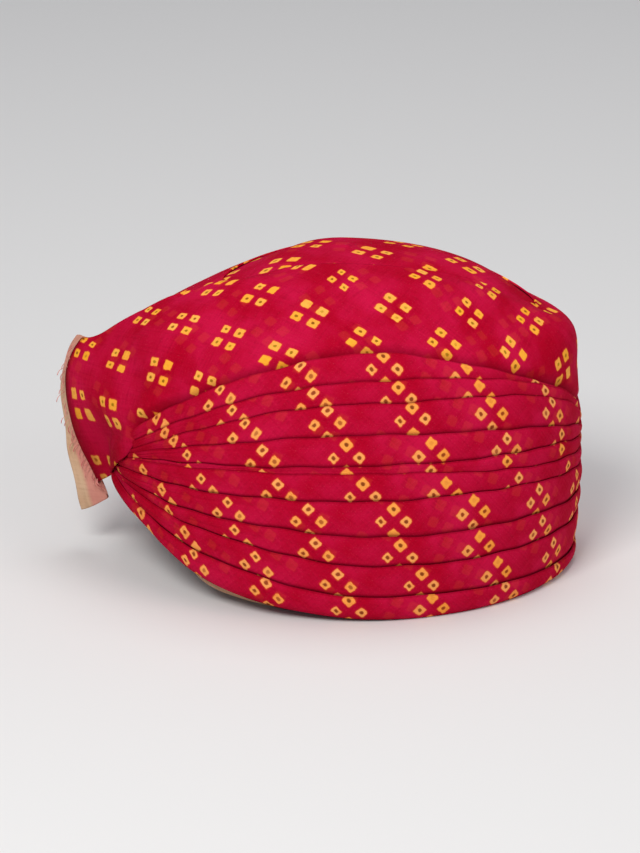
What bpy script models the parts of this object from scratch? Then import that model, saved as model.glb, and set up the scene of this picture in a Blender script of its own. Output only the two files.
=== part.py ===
"""A tied turban of printed cotton: a wound wall on an oval head opening, a cap of cloth over the crown,
ten folds that fan out from one gather at the back, a smooth turn of cloth above them whose free end stands off
the back as a tail, and a pale lining. +X is the front, +Z is up, and the rim stands on Z = 0."""

import math
from collections import namedtuple

import bmesh
import bpy
from mathutils import Vector

# The head that the turban is tied for, inside the lining
HEAD_LENGTH = 0.190
HEAD_WIDTH = 0.162

# The outer form, and the room from the top of the head to the top of the crown
CROWN_HEIGHT = 0.1530
CROWN_ROOM = 0.0060
HEAD_DEPTH = CROWN_HEIGHT - CROWN_ROOM
RIM_LIFT = 0.039
RIM_LIFT_START = math.radians(-15)

# Cloth, as thick as it is wound
LINING_CLOTH = 0.0015
WOUND_WALL = 0.0100
CAP_CLOTH = 0.0025
WRAP_CLOTH = 0.0020
TAIL_LINING_CLOTH = 0.0012

# The folds
FOLD_DEPTH = 0.0034
GATHER_DEPTH = 0.0056
TUCK_DEPTH = 0.0010
TUCK_LENGTH = 0.0016
GATHER_HEIGHT = 0.051
GATHER_SPREAD = 0.0125
GATHER_ANGLE = math.radians(-81)
PEAK_ANGLE = math.radians(6)
FRONT_FALL = 1.2

# The opening between the two smooth turns on the crown
CROWN_GAP_FORWARD = 0.014
CROWN_GAP_LENGTH = 0.148
CROWN_GAP_NEAR = 0.021
CROWN_GAP_FAR = 0.038

# The tail, the free end of the smooth turn
TAIL_ANGLE = math.radians(-97.5)
TAIL_FLARE_START = math.radians(-46)
TAIL_STANDS_OFF = 0.030
TAIL_TOP = 0.101
TAIL_TIP = 0.031
TAIL_MIDDLE = 0.080
TAIL_LINING_HEM = 0.019
TAIL_LINING_FLARE = 0.008
TAIL_LINING_ANGLE = math.radians(-100)
TAIL_LINING_ROOT = math.radians(-78)
TAIL_ROOT = math.radians(-71)
TAIL_DROP = 0.38
TAIL_CUT = math.radians(8)
TURN_END_ANGLE = math.radians(292.5)
TURN_START_COVERED = math.radians(-44)
SHOULDER_HEIGHT = 0.111
SHOULDER_SWELL = 0.0095
SHOULDER_SPREAD = 0.020

# Room between pieces
CLEARANCE = 0.0003
SEAT = 0.0007
TURN_SEAT = 0.0018

# How finely the facets follow the form
STATIONS = 48
STEP = math.tau / STATIONS

Section = namedtuple("Section", "height front back side")

# The wound form: height as a share of CROWN_HEIGHT, front and back of half its length, side of half its width
FORM_SECTIONS = (
    Section(0.00, 0.99, 0.98, 1.00),
    Section(0.13, 1.00, 0.99, 1.01),
    Section(0.30, 1.01, 1.00, 0.99),
    Section(0.48, 1.00, 1.00, 0.93),
    Section(0.63, 0.97, 0.97, 0.84),
    Section(0.75, 0.91, 0.91, 0.735),
    Section(0.85, 0.755, 0.68, 0.58),
    Section(0.93, 0.575, 0.43, 0.42),
    Section(0.98, 0.33, 0.26, 0.24),
    Section(1.00, 0.00, 0.00, 0.00),
)
WALL_TOP_ROW = 5

# The space for the head: height as a share of HEAD_DEPTH, front and back of half its length, side of half its width
HEAD_SECTIONS = (
    Section(0.00, 1.00, 1.00, 1.00),
    Section(0.30, 1.00, 1.00, 1.00),
    Section(0.50, 0.97, 0.97, 0.965),
    Section(0.66, 0.90, 0.90, 0.86),
    Section(0.78, 0.79, 0.79, 0.72),
    Section(0.88, 0.61, 0.59, 0.54),
    Section(0.95, 0.42, 0.39, 0.36),
    Section(0.99, 0.20, 0.20, 0.17),
    Section(1.00, 0.00, 0.00, 0.00),
)
LINING_ROWS = 7
WALLED_ROWS = 4

Fold = namedtuple("Fold", "name peak front rise")

# Each fold's upper edge: its height at the side and at the front, as shares of CROWN_HEIGHT, and how it leaves
# the gather (1 at once, more than 1 later)
FOLDS = (
    Fold("pleat_01", 0.795, 0.475, 1.00),
    Fold("pleat_02", 0.725, 0.455, 1.00),
    Fold("pleat_03", 0.657, 0.435, 1.00),
    Fold("pleat_04", 0.573, 0.412, 0.95),
    Fold("pleat_05", 0.477, 0.378, 0.70),
    Fold("pleat_06", 0.450, 0.344, 0.60),
    Fold("pleat_07", 0.380, 0.287, 0.60),
    Fold("pleat_08", 0.266, 0.212, 1.50),
    Fold("pleat_09", 0.161, 0.134, 1.60),
    Fold("pleat_10", 0.060, 0.050, 1.20),
)

# Red cotton with its yellow print left out, the undyed lining and the faded tail edge
RED = (0.60, 0.008, 0.045, 1.0)
DEEP_RED = (0.42, 0.006, 0.03, 1.0)
CREAM = (0.72, 0.50, 0.33, 1.0)
CLOTH_ROUGHNESS = 0.85

HALF_LENGTH = HEAD_LENGTH / 2 + LINING_CLOTH + CLEARANCE + WOUND_WALL
HALF_WIDTH = HEAD_WIDTH / 2 + LINING_CLOTH + CLEARANCE + WOUND_WALL


def smooth(t):
    """0 below 0, 1 above 1 and an even S between."""
    t = min(1.0, max(0.0, t))
    return t * t * (3 - 2 * t)


def bell(x, centre, width):
    """1 at the centre, fading on both sides."""
    return math.exp(-(((x - centre) / width) ** 2))


def between_rows(values, row):
    """A smooth curve through the rows of a table, read at a fraction of a row."""
    last = len(values) - 1
    row = min(max(row, 0.0), last)
    i = min(int(row), last - 1)
    t = row - i
    a, b, c, d = (values[min(max(i + k, 0), last)] for k in (-1, 0, 1, 2))
    return 0.5 * (2 * b + (c - a) * t + (2 * a - 5 * b + 4 * c - d) * t**2 + (3 * b - a - 3 * c + d) * t**3)


class Form:
    """A dome of oval sections. A point on it has an angle round the head and a row of the table."""

    def __init__(self, sections, height, half_length, half_width):
        self.heights = [s.height * height for s in sections]
        self.fronts = [s.front * half_length for s in sections]
        self.backs = [s.back * half_length for s in sections]
        self.sides = [s.side * half_width for s in sections]
        self.last = len(sections) - 1

    def at(self, angle, row):
        ends = self.fronts if math.sin(angle) > 0 else self.backs
        return Vector(
            (
                between_rows(ends, row) * math.sin(angle),
                -between_rows(self.sides, row) * math.cos(angle),
                between_rows(self.heights, row),
            )
        )

    def outward(self, angle, row):
        """The direction that faces away from the head."""
        if row >= self.last:
            return Vector((0.0, 0.0, 1.0))
        small = 1e-3
        row = min(row, self.last - 2 * small)
        across = self.at(angle + small, row) - self.at(angle - small, row)
        up = self.at(angle, row + small) - self.at(angle, max(row - small, 0.0))
        return across.cross(up).normalized()

    def off(self, angle, row, distance):
        """The point that stands this far off the form."""
        return self.at(angle, row) + distance * self.outward(angle, row)

    def row_at(self, height):
        """The row of the table at this height."""
        low, high = 0.0, float(self.last)
        for _ in range(40):
            middle = (low + high) / 2
            if between_rows(self.heights, middle) < height:
                low = middle
            else:
                high = middle
        return (low + high) / 2


WOUND = Form(FORM_SECTIONS, CROWN_HEIGHT, HALF_LENGTH, HALF_WIDTH)
HEAD = Form(HEAD_SECTIONS, HEAD_DEPTH, HEAD_LENGTH / 2, HEAD_WIDTH / 2)


class Meridian:
    """The line from rim to crown at one angle, measured along the cloth."""

    SAMPLES = 90

    def __init__(self, angle):
        self.angle = angle
        self.rows = [WOUND.last * i / self.SAMPLES for i in range(self.SAMPLES + 1)]
        points = [WOUND.at(angle, row) for row in self.rows]
        self.heights = [p.z for p in points]
        self.lengths = [0.0]
        for a, b in zip(points, points[1:]):
            self.lengths.append(self.lengths[-1] + (b - a).length)

    @staticmethod
    def _read(known, wanted, value):
        for i in range(len(known) - 1):
            if known[i + 1] >= value:
                share = (value - known[i]) / max(known[i + 1] - known[i], 1e-12)
                return wanted[i] + (wanted[i + 1] - wanted[i]) * max(share, 0.0)
        return wanted[-1]

    def length_at(self, height):
        return self._read(self.heights, self.lengths, height)

    def point(self, length, distance):
        row = self._read(self.lengths, self.rows, length)
        return WOUND.off(self.angle, row, distance)


def near_side(angle):
    """The same angle on the near half, because both halves are tied alike: -90 degrees is the back, 90 the front."""
    angle = (angle + math.pi / 2) % math.tau - math.pi / 2
    return angle if angle <= math.pi / 2 else math.pi - angle


def rim_height(angle):
    """The rim stands flat round the front and lifts towards the nape."""
    lift = max(0.0, (RIM_LIFT_START - near_side(angle)) / (RIM_LIFT_START + math.pi / 2))
    return RIM_LIFT * (1 - math.cos(math.pi * lift)) / 2


def bunching(angle):
    """1 in the gather at the back, 0 where the folds lie open."""
    opened = (near_side(angle) - GATHER_ANGLE) / math.radians(24)
    return 1 - smooth(opened)


def fold_height(index, angle):
    """The height of a fold's upper edge: level in the gather, arched over the side, falling to the front."""
    fold = FOLDS[index]
    angle = near_side(angle)
    gather = GATHER_HEIGHT + GATHER_SPREAD * (0.5 - index / (len(FOLDS) - 1))
    peak = fold.peak * CROWN_HEIGHT
    front = fold.front * CROWN_HEIGHT
    if angle <= PEAK_ANGLE:
        share = max(0.0, (angle - GATHER_ANGLE) / (PEAK_ANGLE - GATHER_ANGLE))
        return gather + (peak - gather) * math.sin(share * math.pi / 2) ** fold.rise
    share = (angle - PEAK_ANGLE) / (math.pi / 2 - PEAK_ANGLE)
    return front + (peak - front) * math.cos(share * math.pi / 2) ** FRONT_FALL


def crown_edge_row(angle):
    """The row where a smooth turn ends beside the long opening on the crown."""
    low, high = float(WALL_TOP_ROW), float(WOUND.last)
    for _ in range(40):
        middle = (low + high) / 2
        p = WOUND.at(angle, middle)
        along = (p.x - CROWN_GAP_FORWARD) / (CROWN_GAP_LENGTH / 2)
        across = p.y / (CROWN_GAP_FAR if p.y > 0 else CROWN_GAP_NEAR)
        if along**2 + across**2 > 1:
            low = middle
        else:
            high = middle
    return (low + high) / 2


def new_material(name, colour):
    material = bpy.data.materials.new(name)
    material.use_nodes = True
    shader = material.node_tree.nodes["Principled BSDF"]
    shader.inputs["Base Color"].default_value = colour
    shader.inputs["Roughness"].default_value = CLOTH_ROUGHNESS
    shader.inputs["Metallic"].default_value = 0.0
    return material


def new_cloth(name, columns, rows, place, material, collection):
    """A grid of cloth whose corners are placed by a function of the share along it and the share up it."""
    bm = bmesh.new()
    bmesh.ops.create_grid(bm, x_segments=columns, y_segments=rows, size=1.0)
    for v in bm.verts:
        v.co = place((v.co.x + 1) / 2, (v.co.y + 1) / 2)
    bmesh.ops.remove_doubles(bm, verts=bm.verts, dist=1e-6)
    mesh = bpy.data.meshes.new(name)
    bm.to_mesh(mesh)
    bm.free()
    mesh.shade_smooth()
    mesh.materials.append(material)
    piece = bpy.data.objects.new(name, mesh)
    collection.objects.link(piece)
    return piece


def thicken(piece, thickness, offset):
    """Gives a sheet its wall: offset 1 grows it outwards and -1 inwards."""
    wall = piece.modifiers.new("cloth thickness", "SOLIDIFY")
    wall.thickness = thickness
    wall.offset = offset
    return piece


def round_the_head(along):
    """The angle at this share of a whole turn, on the stations that all closed pieces share."""
    return math.tau * along


def wall_top():
    """The height of the wound wall, where the cap stands on it."""
    return FORM_SECTIONS[WALL_TOP_ROW].height * CROWN_HEIGHT


def lining_row(angle, corner):
    """The rows of the lining: the lower ones go up inside the wall, the others over the crown."""
    hem = HEAD.row_at(max(CLEARANCE, rim_height(angle)))
    top = HEAD.row_at(wall_top() - LINING_CLOTH)
    if corner <= WALLED_ROWS:
        return hem + (top - hem) * corner / WALLED_ROWS
    return top + (HEAD.last - top) * (corner - WALLED_ROWS) / (LINING_ROWS - WALLED_ROWS)


def build_lining(collection, material):
    """A thin dome: down its inside from the crown to the hem, and up its outside."""
    rows = 2 * LINING_ROWS + 1

    def place(along, share):
        angle = round_the_head(along)
        corner = round(share * rows)
        if corner <= LINING_ROWS:
            return HEAD.at(angle, lining_row(angle, LINING_ROWS - corner))
        return HEAD.off(angle, lining_row(angle, corner - LINING_ROWS - 1), LINING_CLOTH)

    return new_cloth("lining", STATIONS, rows, place, material, collection)


def build_wound_wall(collection, material):
    """The thick wall of wound turns: an outer face, a flat top, an inner face round the lining and a flat rim."""
    outer_rows = 6
    around = outer_rows + WALLED_ROWS + 2

    def place(along, share):
        angle = round_the_head(along)
        rim = rim_height(angle)
        corner = round(share * around) % around
        if corner <= outer_rows:
            height = rim + (wall_top() - rim) * corner / outer_rows
            return WOUND.at(angle, WOUND.row_at(height))
        row = lining_row(angle, around - 1 - corner)
        point = HEAD.off(angle, row, LINING_CLOTH + 2 * CLEARANCE)
        if corner == outer_rows + 1:
            point.z = wall_top()
        if corner == around - 1:
            point.z = rim
        return point

    return new_cloth("wound_wall", STATIONS, around, place, material, collection)


def build_crown_cap(collection, material):
    """The cloth over the crown, a dish that stands on the wall."""
    bands = 5
    rows = 2 * bands + 1
    seat_height = wall_top() + CLEARANCE
    seat = WOUND.row_at(seat_height)

    def place(along, share):
        angle = round_the_head(along)
        corner = round(share * rows)
        if corner <= bands:
            point = WOUND.off(angle, seat + (WOUND.last - seat) * (bands - corner) / bands, -CAP_CLOTH)
        else:
            point = WOUND.at(angle, seat + (WOUND.last - seat) * (corner - bands - 1) / bands)
        if corner in (bands, bands + 1):
            point.z = seat_height
        return point

    return new_cloth("crown_cap", STATIONS, rows, place, material, collection)


def fold_width(index, angle, meridian):
    """From a fold's upper edge down the cloth to the next fold's, or to the rim."""
    top = meridian.length_at(fold_height(index, angle))
    if index + 1 < len(FOLDS):
        return top - meridian.length_at(fold_height(index + 1, angle))
    return top - meridian.length_at(rim_height(angle) + CLEARANCE)


def tuck_length(index, angle, meridian):
    """How far a fold's lower edge goes under the next fold."""
    if index < 0 or index + 1 >= len(FOLDS):
        return 0.0
    narrower = min(fold_width(index, angle, meridian), fold_width(index + 1, angle, meridian))
    return min(TUCK_LENGTH, 0.35 * narrower)


def build_fold(index, collection, material):
    """One fold, a closed turn: a raised upper edge over the fold above, and a lower edge tucked under the next."""
    corners = 6

    def place(along, share):
        angle = round_the_head(along)
        meridian = Meridian(angle)
        top = meridian.length_at(fold_height(index, angle))
        width = fold_width(index, angle, meridian)
        room = min(CLEARANCE, 0.12 * width)
        over = max(tuck_length(index - 1, angle, meridian), 0.1 * width) + 2 * room
        under = tuck_length(index, angle, meridian)
        lip = SEAT + TUCK_DEPTH
        depth = SEAT + FOLD_DEPTH + (GATHER_DEPTH - FOLD_DEPTH) * bunching(angle)
        lowest = index + 1 == len(FOLDS)
        section = (
            (0.0, lip + room),
            (over, SEAT),
            (width + under, SEAT),
            (width, 0.75 * depth if lowest else lip - room * 0.5),
            (0.55 * width, depth if lowest else lip + 0.62 * (depth - lip)),
            (0.10 * width, depth),
        )
        down, distance = section[round(share * corners) % corners]
        return meridian.point(top - down, distance)

    return new_cloth(FOLDS[index].name, STATIONS, corners, place, material, collection)


def tail_edge_angle(height):
    """The red cloth's free edge: it stands nearly upright and cuts in below to the tip."""
    cut = smooth((TAIL_MIDDLE - height) / (TAIL_MIDDLE - TAIL_TIP))
    return TAIL_ANGLE + TAIL_CUT * cut


def turn_stands_off(angle, height):
    """How far the smooth turn stands off the wound form."""
    over_start = (2 * SEAT + WRAP_CLOTH) * smooth((TURN_START_COVERED - angle) / math.radians(16))
    flare = max(0.0, (TAIL_FLARE_START - angle) / (TAIL_FLARE_START - TAIL_ANGLE)) ** 2
    high = smooth((CROWN_HEIGHT * 0.96 - height) / (CROWN_HEIGHT * 0.96 - TAIL_MIDDLE))
    low = 1 - 0.5 * smooth((GATHER_HEIGHT + 0.009 - height) / 0.035)
    pinch = bell(height, GATHER_HEIGHT, 0.017) * bell(angle, GATHER_ANGLE, math.radians(7))
    flared = TAIL_STANDS_OFF * flare * high * low * (1 - 0.72 * pinch)
    gathered = smooth((TAIL_ROOT + math.radians(5) - angle) / math.radians(10))
    gathered *= smooth((GATHER_HEIGHT + 0.035 - height) / 0.025)
    over_gather = (GATHER_DEPTH + TAIL_LINING_CLOTH + 4 * SEAT) * gathered
    shoulder = bell(height, SHOULDER_HEIGHT, SHOULDER_SPREAD) * bell(angle, math.pi / 2, math.radians(30))
    return TURN_SEAT + max(over_start, flared, over_gather) + SHOULDER_SWELL * shoulder


def turn_limits(angle):
    """The lower and upper edge of the smooth turn, as rows of the form."""
    lower = fold_height(0, angle) + 2 * CLEARANCE
    upper = crown_edge_row(angle)
    if angle < TAIL_ROOT:
        share = (TAIL_ROOT - angle) / (TAIL_ROOT - TAIL_ANGLE)
        start = fold_height(0, TAIL_ROOT) + 2 * CLEARANCE
        lower = start + (TAIL_TIP - start) * share**TAIL_DROP
        upper += (WOUND.row_at(TAIL_TOP) - upper) * smooth(share)
    return WOUND.row_at(lower), upper


def build_smooth_turn(collection, material):
    """The smooth turn above the folds. It starts under itself at the back, goes once round, and ends as the tail."""
    rows = 9
    loose = round((TAIL_FLARE_START - TAIL_ANGLE) / STEP)
    angles = [TAIL_ANGLE + STEP / 2 * i for i in range(2 * loose)]
    angles += [TAIL_ANGLE + STEP * (loose + i) for i in range(round((TURN_END_ANGLE - TAIL_ANGLE) / STEP) - loose + 1)]
    columns = len(angles) - 1

    def place(along, up):
        angle = angles[round(along * columns)]
        lower, upper = turn_limits(angle)
        row = lower + (upper - lower) * up
        height = between_rows(WOUND.heights, row)
        sheared = max(0.0, (TAIL_ROOT - angle) / (TAIL_ROOT - TAIL_ANGLE))
        angle += sheared * (tail_edge_angle(height) - TAIL_ANGLE)
        return WOUND.off(angle, row, turn_stands_off(angle, height))

    piece = new_cloth("smooth_turn", columns, rows, place, material, collection)
    return thicken(piece, WRAP_CLOTH, 1.0)


def build_tail_lining(collection, material):
    """The pale layer inside the tail. It reaches past the red cloth's free edge, furthest at the bottom."""
    columns = 8
    rows = 8

    def place(along, up):
        angle = TAIL_LINING_ANGLE + (TAIL_LINING_ROOT - TAIL_LINING_ANGLE) * along
        hem = TAIL_LINING_HEM + (GATHER_HEIGHT + 0.012 - TAIL_LINING_HEM) * along**0.8
        top = TAIL_TOP - 0.004 * along
        height = hem + (top - hem) * up
        beyond = smooth((tail_edge_angle(height) - angle) / math.radians(10))
        under = turn_stands_off(angle, height) - TAIL_LINING_CLOTH - 3 * SEAT + TAIL_LINING_FLARE * beyond
        return WOUND.off(angle, WOUND.row_at(height), under)

    piece = new_cloth("tail_lining", columns, rows, place, material, collection)
    return thicken(piece, TAIL_LINING_CLOTH, 1.0)


def stand_over_origin(pieces):
    """Moves the turban along X until its origin is under the middle of its whole length."""
    bpy.context.view_layer.update()
    corners = [piece.matrix_world @ Vector(corner) for piece in pieces for corner in piece.bound_box]
    middle = (min(c.x for c in corners) + max(c.x for c in corners)) / 2
    for piece in pieces:
        for v in piece.data.vertices:
            v.co.x -= middle


def main():
    for old in list(bpy.data.objects):
        bpy.data.objects.remove(old)
    turban = bpy.data.collections.new("tied turban")
    bpy.context.scene.collection.children.link(turban)
    red = new_material("red cotton", RED)
    deep_red = new_material("wound red cotton", DEEP_RED)
    cream = new_material("undyed lining", CREAM)
    pieces = [
        build_lining(turban, cream),
        build_wound_wall(turban, deep_red),
        build_crown_cap(turban, red),
        build_smooth_turn(turban, red),
        build_tail_lining(turban, cream),
    ]
    pieces += [build_fold(index, turban, red) for index in range(len(FOLDS))]
    stand_over_origin(pieces)


main()
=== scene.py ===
# %% [markdown]
# # A tied turban, dressed over its frame
#
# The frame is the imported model: a wound wall, a lining, a cap of cloth, ten folds, a smooth turn and its tail.
# This script lays cloth over each of those solids, prints it, lights it and points a camera at it.
# Lengths are in metres, angles in radians, +X is the front and +Z is up.

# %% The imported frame
import math
from collections import namedtuple

import bpy
import numpy as np
from mathutils import Matrix, Vector


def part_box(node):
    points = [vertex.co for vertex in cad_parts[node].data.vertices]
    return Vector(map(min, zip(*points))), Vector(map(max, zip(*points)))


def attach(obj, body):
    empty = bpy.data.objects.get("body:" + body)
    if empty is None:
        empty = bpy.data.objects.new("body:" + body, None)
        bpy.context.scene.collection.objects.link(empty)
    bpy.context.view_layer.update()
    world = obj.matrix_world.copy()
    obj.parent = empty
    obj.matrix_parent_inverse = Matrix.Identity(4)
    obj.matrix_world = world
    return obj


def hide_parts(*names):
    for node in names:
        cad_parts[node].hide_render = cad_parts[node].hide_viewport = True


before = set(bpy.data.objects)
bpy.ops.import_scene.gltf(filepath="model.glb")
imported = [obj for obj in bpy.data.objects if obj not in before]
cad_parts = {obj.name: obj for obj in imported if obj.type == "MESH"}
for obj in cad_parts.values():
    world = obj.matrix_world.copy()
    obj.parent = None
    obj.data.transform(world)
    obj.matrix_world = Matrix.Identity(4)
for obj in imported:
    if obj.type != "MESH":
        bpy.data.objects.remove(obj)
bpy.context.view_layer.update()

# %% [markdown]
# ## The form that the cloth is wound on
#
# Every piece of the turban lies on one dome of oval sections, so the cloth is made from the same table that made
# the frame. A point on the dome has an angle round the head and a row of the table.
# A dome could also be shrink-wrapped, but then the folds would lie where the nearest face is and not where they
# were laid by hand. A table keeps each fold on its own line.

# %% The form's table, as shares of its height, half length and half width
Section = namedtuple("Section", "height front back side")
CROWN_HEIGHT = 0.1530
HALF_LENGTH = 0.1068
HALF_WIDTH = 0.0928
FORM_SECTIONS = (
    Section(0.00, 0.99, 0.98, 1.00),
    Section(0.13, 1.00, 0.99, 1.01),
    Section(0.30, 1.01, 1.00, 0.99),
    Section(0.48, 1.00, 1.00, 0.93),
    Section(0.63, 0.97, 0.97, 0.84),
    Section(0.75, 0.91, 0.91, 0.735),
    Section(0.85, 0.755, 0.68, 0.58),
    Section(0.93, 0.575, 0.43, 0.42),
    Section(0.98, 0.33, 0.26, 0.24),
    Section(1.00, 0.00, 0.00, 0.00),
)
WALL_TOP = 0.75 * CROWN_HEIGHT
HEAD_DEPTH = 0.147
HEAD_HALF_LENGTH = 0.095
HEAD_HALF_WIDTH = 0.081
HEAD_SECTIONS = (
    Section(0.00, 1.00, 1.00, 1.00),
    Section(0.30, 1.00, 1.00, 1.00),
    Section(0.50, 0.97, 0.97, 0.965),
    Section(0.66, 0.90, 0.90, 0.86),
    Section(0.78, 0.79, 0.79, 0.72),
    Section(0.88, 0.61, 0.59, 0.54),
    Section(0.95, 0.42, 0.39, 0.36),
    Section(0.99, 0.20, 0.20, 0.17),
    Section(1.00, 0.00, 0.00, 0.00),
)


# %% Smooth curves through the table
def smooth(t):
    """0 below 0, 1 above 1 and an even S between."""
    t = np.clip(t, 0.0, 1.0)
    return t * t * (3 - 2 * t)


def bell(x, centre, width):
    """1 at the centre, fading on both sides."""
    return np.exp(-(((x - centre) / width) ** 2))


def between_rows(values, row):
    """A smooth curve through the rows of a table, read at fractions of a row."""
    last = len(values) - 1
    row = np.clip(np.asarray(row, float), 0.0, last)
    i = np.minimum(row.astype(int), last - 1)
    t = row - i
    a, b, c, d = values[np.maximum(i - 1, 0)], values[i], values[i + 1], values[np.minimum(i + 2, last)]
    return 0.5 * (2 * b + (c - a) * t + (2 * a - 5 * b + 4 * c - d) * t**2 + (3 * b - a - 3 * c + d) * t**3)


class Form:
    """A dome of oval sections whose points are found for many angles and rows at once."""

    def __init__(self, sections, height, half_length, half_width):
        table = np.array(sections)
        self.heights = table[:, 0] * height
        self.fronts = table[:, 1] * half_length
        self.backs = table[:, 2] * half_length
        self.sides = table[:, 3] * half_width
        self.last = len(sections) - 1

    def at(self, angle, row):
        angle, row = np.broadcast_arrays(np.asarray(angle, float), np.asarray(row, float))
        ends = np.where(np.sin(angle) > 0, between_rows(self.fronts, row), between_rows(self.backs, row))
        across = between_rows(self.sides, row)
        return np.stack((ends * np.sin(angle), -across * np.cos(angle), between_rows(self.heights, row)), -1)

    def outward(self, angle, row):
        angle, row = np.broadcast_arrays(np.asarray(angle, float), np.asarray(row, float))
        small = 1e-3
        low = np.minimum(row, self.last - 2 * small)
        across = self.at(angle + small, low) - self.at(angle - small, low)
        up = self.at(angle, low + small) - self.at(angle, np.maximum(low - small, 0.0))
        normal = np.cross(across, up)
        normal /= np.linalg.norm(normal, axis=-1, keepdims=True)
        normal[row >= self.last] = (0.0, 0.0, 1.0)
        return normal

    def off(self, angle, row, distance):
        """The points that stand this far off the form."""
        return self.at(angle, row) + np.asarray(distance, float)[..., None] * self.outward(angle, row)

    def row_at(self, height):
        """The row of the table at each height."""
        rows = np.linspace(0, self.last, 900)
        return np.interp(height, between_rows(self.heights, rows), rows)


WOUND = Form(FORM_SECTIONS, CROWN_HEIGHT, HALF_LENGTH, HALF_WIDTH)
HEAD = Form(HEAD_SECTIONS, HEAD_DEPTH, HEAD_HALF_LENGTH, HEAD_HALF_WIDTH)
AXIS_X = 0.5 * sum(corner[0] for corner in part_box("lining"))
print("the form's axis stands at x =", round(AXIS_X, 4))


# %% Lengths along the cloth, from the rim up to the crown
class Meridians:
    """The lines from rim to crown at many angles, measured along the cloth."""

    SAMPLES = 180

    def __init__(self, angles):
        self.angles = np.asarray(angles, float)
        self.rows = np.linspace(0, WOUND.last, self.SAMPLES + 1)
        points = WOUND.at(self.angles[:, None], self.rows[None, :])
        self.heights = points[0, :, 2]
        steps = np.linalg.norm(np.diff(points, axis=1), axis=-1)
        self.lengths = np.concatenate((np.zeros((len(self.angles), 1)), np.cumsum(steps, axis=1)), axis=1)

    def length_at(self, heights):
        """One length for each angle."""
        heights = np.broadcast_to(heights, self.angles.shape)
        return np.array([np.interp(h, self.heights, line) for h, line in zip(heights, self.lengths)])

    def row_at(self, lengths):
        """Rows for an array of lengths whose first index is the angle."""
        return np.array([np.interp(wanted, line, self.rows) for wanted, line in zip(lengths, self.lengths)])

    def off(self, lengths, distances):
        return WOUND.off(self.angles[:, None], self.row_at(lengths), distances)


# %% [markdown]
# ## Where the folds lie
#
# The folds fan out from one gather at the back, arch over the side and fall towards the front.
# Each fold's upper edge is a line of the table below: its height at the peak and at the front as shares of the
# crown's height, the exponents of its rise behind the peak and of its fall before it, and how many metres it
# rides up on the side near the camera. The far side is tied like the near one.
# The lines could be drawn as curves on the dome, but ten numbers each are easier to read, and no two lines cross.

# %% The folds' upper edges
Fold = namedtuple("Fold", "name peak front rise fall near_lift")
FOLDS = (
    Fold("pleat_01", 0.785, 0.475, 0.97, 1.7, 0.0),
    Fold("pleat_02", 0.716, 0.455, 1.08, 2.6, 0.0),
    Fold("pleat_03", 0.657, 0.435, 1.12, 3.0, 0.0),
    Fold("pleat_04", 0.569, 0.412, 0.95, 2.1, 0.0),
    Fold("pleat_05", 0.482, 0.378, 0.70, 2.6, 0.0),
    Fold("pleat_06", 0.462, 0.344, 0.60, 1.4, 0.0),
    Fold("pleat_07", 0.380, 0.287, 0.60, 2.5, 0.0),
    Fold("pleat_08", 0.269, 0.212, 1.50, 2.6, 0.0025),
    Fold("pleat_09", 0.176, 0.145, 1.60, 2.4, 0.0035),
    Fold("pleat_10", 0.080, 0.034, 1.20, 1.6, 0.0028),
)
RIM_LIFT = 0.039
RIM_LIFT_START = math.radians(-15)
GATHER_HEIGHT = 0.051
GATHER_SPREAD = 0.0125
GATHER_ANGLE = math.radians(-81)
GATHER_WIDTH = math.radians(24)
PEAK_ANGLE = math.radians(6)
FRONT_ROUNDING = 0.04
OUTER_LIFT = 0.0055
OUTER_LIFT_ANGLE = math.radians(-24)
OUTER_LIFT_WIDTH = math.radians(21)


def wrapped(angle):
    """The same angle between -180 and 180 degrees."""
    return (angle + math.pi) % math.tau - math.pi


def near_side(angle):
    """The same angle on the near half: -90 degrees is the back, 90 the front."""
    angle = (angle + math.pi / 2) % math.tau - math.pi / 2
    return np.where(angle <= math.pi / 2, angle, math.pi - angle)


def rim_height(angle):
    """The rim stands flat round the front and lifts towards the nape."""
    lift = np.maximum(0.0, (RIM_LIFT_START - near_side(angle)) / (RIM_LIFT_START + math.pi / 2))
    return RIM_LIFT * (1 - np.cos(math.pi * lift)) / 2


def near_lift(angle):
    """1 where the lowest folds ride up a little from the rim, on the side near the camera."""
    return bell(wrapped(angle), OUTER_LIFT_ANGLE, OUTER_LIFT_WIDTH)


def outer_rim(angle):
    """The height of the folds' lowest hem."""
    return rim_height(angle) + OUTER_LIFT * near_lift(angle)


def bunching(angle):
    """1 in the gather at the back, 0 where the folds lie open."""
    return 1 - smooth((near_side(angle) - GATHER_ANGLE) / GATHER_WIDTH)


def fold_height(index, angle):
    """The height of a fold's upper edge: level in the gather, arched over the side, falling to the front."""
    fold = FOLDS[index]
    angle = near_side(angle)
    gather = GATHER_HEIGHT + GATHER_SPREAD * (0.5 - index / (len(FOLDS) - 1))
    peak = fold.peak * CROWN_HEIGHT
    front = fold.front * CROWN_HEIGHT
    back_share = np.clip((angle - GATHER_ANGLE) / (PEAK_ANGLE - GATHER_ANGLE), 0.0, 1.0)
    front_share = np.clip((angle - PEAK_ANGLE) / (math.pi / 2 - PEAK_ANGLE), 0.0, 1.0)
    towards_back = gather + (peak - gather) * np.sin(back_share * math.pi / 2) ** fold.rise
    rounded = np.maximum(0.0, 1 - np.hypot(1 - front_share, FRONT_ROUNDING))
    towards_front = front + (peak - front) * (1 - rounded**fold.fall)
    return np.where(angle <= PEAK_ANGLE, towards_back, towards_front)


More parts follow.
